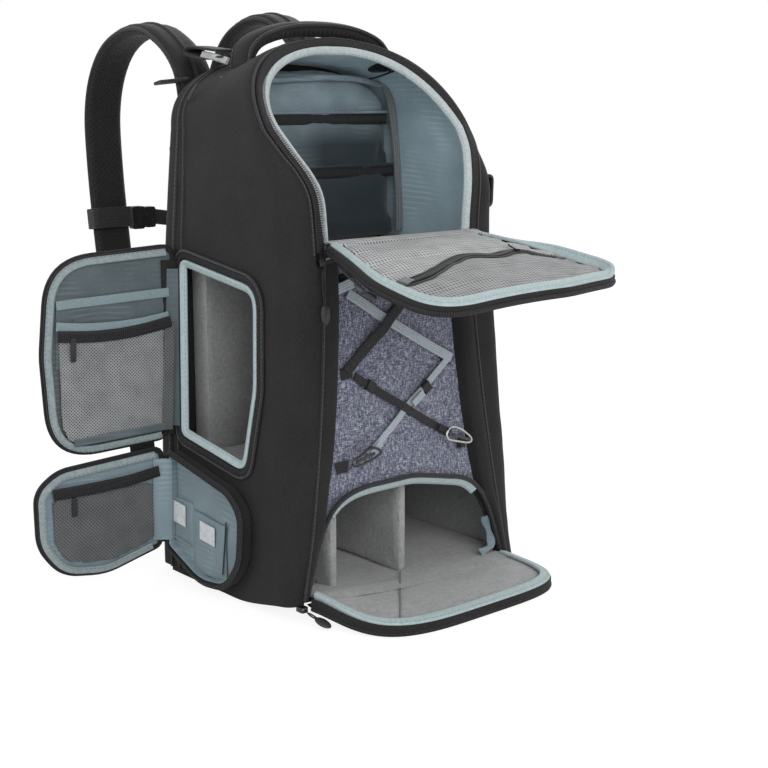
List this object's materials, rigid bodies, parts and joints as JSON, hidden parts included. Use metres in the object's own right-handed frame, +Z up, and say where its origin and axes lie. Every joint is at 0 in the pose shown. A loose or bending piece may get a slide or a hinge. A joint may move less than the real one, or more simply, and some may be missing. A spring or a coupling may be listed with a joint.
{
  "type": "camera backpack",
  "caption": "Upright padded camera backpack with hinged top and lower flaps, a hinged camera door and card pocket on its left side, crossed lacing and shoulder straps.",
  "frame": {"origin": "on the floor under the middle of the base", "axes": "+Z up, -Y out of the laced front, +Y towards the shoulder straps, +X to the right seen from the front"},
  "size_m": [0.4149, 0.5654, 0.5366],
  "materials": {
    "black_cloth": "fine black weave",
    "heather_cloth": "flecked blue-grey weave",
    "blue_grey_lining": "light ripstop lining",
    "grey_felt": "brushed padding cover",
    "grey_mesh": "open mesh",
    "black_webbing": "ribbed webbing",
    "grey_webbing": "ribbed webbing",
    "black_plastic": "moulded, satin",
    "grey_rubber": "soft, matte",
    "steel_wire": "bright wire",
    "dark_steel_wire": "dark wire"
  },
  "bodies": {
    "bag": {"back_pad_left": "grey_mesh", "back_pad_right": "grey_mesh", "back_panel": "black_cloth", "base_panel": "black_cloth", "black_lace_high": "black_webbing", "black_lace_low": "black_webbing", "camera_shelf": "grey_felt", "card_slots": "blue_grey_lining", "card_tray": "black_cloth", "dark_lace_hook": "dark_steel_wire", "front_band": "black_cloth", "front_panel": "heather_cloth", "grab_handle": "black_cloth", "grey_lace_high": "grey_webbing", "grey_lace_low": "grey_webbing", "inner_back_pad": "grey_felt", "lace_loop_high_left": "black_webbing", "lace_loop_low_left": "black_webbing", "lace_loop_low_right": "black_webbing", "lace_loop_mid_left": "black_webbing", "lace_loop_mid_right": "black_webbing", "ladder_lock_left": "black_plastic", "ladder_lock_right": "black_plastic", "left_side_panel": "black_cloth", "load_lifter_left": "black_webbing", "load_lifter_right": "black_webbing", "low_divider_left": "grey_felt", "low_divider_middle": "grey_felt", "low_zip_slider": "dark_steel_wire", "lumbar_pad": "grey_mesh", "right_side_panel": "black_cloth", "shoulder_strap_left": "black_cloth", "shoulder_strap_right": "black_cloth", "side_buckle": "black_plastic", "steel_lace_hook": "steel_wire", "sternum_loop_left": "black_webbing", "sternum_loop_right": "black_webbing", "sternum_plug": "black_plastic", "sternum_socket": "black_plastic", "sternum_webbing": "black_webbing", "strap_webbing_left": "black_webbing", "strap_webbing_right": "black_webbing", "top_hood": "black_cloth", "top_pocket_panel": "blue_grey_lining", "top_shelf": "grey_felt", "top_zip_slider": "dark_steel_wire"},
    "top_flap": {"top_flap": "black_cloth", "top_flap_pocket": "grey_mesh"},
    "low_flap": {"low_flap": "black_cloth"},
    "side_door": {"side_door": "black_cloth", "side_door_pocket": "grey_mesh"},
    "card_door": {"card_door": "black_cloth", "card_door_pocket": "grey_mesh"},
    "top_zip_pull": {"top_zip_pull": "grey_rubber"},
    "low_zip_pull": {"low_zip_pull": "grey_rubber"},
    "top_pocket_pull": {"top_pocket_pull": "black_plastic"},
    "side_door_pull": {"side_door_pull": "black_plastic"},
    "card_door_pull": {"card_door_pull": "black_plastic"},
    "grey_lace_slider": {"grey_lace_slider": "black_plastic"},
    "black_lace_slider": {"black_lace_slider": "black_plastic"}
  },
  "joints": [
    {"name": "top_flap_hinge", "type": "hinge", "parent": "bag", "child": "top_flap", "pos_m": [0, -0.0905, 0.3215], "axis": [-1, 0, 0], "range_deg": [-12, 123]},
    {"name": "low_flap_hinge", "type": "hinge", "parent": "bag", "child": "low_flap", "pos_m": [0, -0.1057, 0.0121], "axis": [-1, 0, 0], "range_deg": [0, 92]},
    {"name": "side_door_hinge", "type": "hinge", "parent": "bag", "child": "side_door", "pos_m": [-0.13809, 0.07295, 0.19972], "axis": [0.0528, -0.0003, 0.9986], "range_deg": [-12, 107]},
    {"name": "card_door_hinge", "type": "hinge", "parent": "bag", "child": "card_door", "pos_m": [-0.15438, 0.0745, 0.07041], "axis": [0.033, 0, 0.9995], "range_deg": [-12, 101]},
    {"name": "top_zip_swing", "type": "hinge", "parent": "bag", "child": "top_zip_pull", "pos_m": [-0.093, -0.09131, 0.30512], "axis": [0, -1, 0], "range_deg": [-30, 30]},
    {"name": "low_zip_swing", "type": "hinge", "parent": "bag", "child": "low_zip_pull", "pos_m": [-0.1305, -0.1165, 0.0022], "axis": [0, 0, 1], "range_deg": [-40, 5]},
    {"name": "top_pocket_swing", "type": "hinge", "parent": "top_flap", "child": "top_pocket_pull", "pos_m": [0.066, -0.1614, 0.32233], "axis": [0, -0.1478, 0.989], "range_deg": [-40, 40]},
    {"name": "side_pocket_swing", "type": "hinge", "parent": "side_door", "child": "side_door_pull", "pos_m": [-0.23124, 0.09405, 0.23669], "axis": [0.2922, 0.9562, -0.0152], "range_deg": [-40, 40]},
    {"name": "card_pocket_swing", "type": "hinge", "parent": "card_door", "child": "card_door_pull", "pos_m": [-0.24098, 0.08732, 0.09127], "axis": [0.2078, 0.9781, -0.0069], "range_deg": [-40, 40]},
    {"name": "grey_slider_slide", "type": "slide", "parent": "bag", "child": "grey_lace_slider", "axis": [-0.8098, -0.034, -0.5857], "range_m": [-0.016, 0.012]},
    {"name": "black_slider_slide", "type": "slide", "parent": "bag", "child": "black_lace_slider", "axis": [0.8527, -0.0302, -0.5215], "range_m": [-0.008, 0.03]}
  ]
}
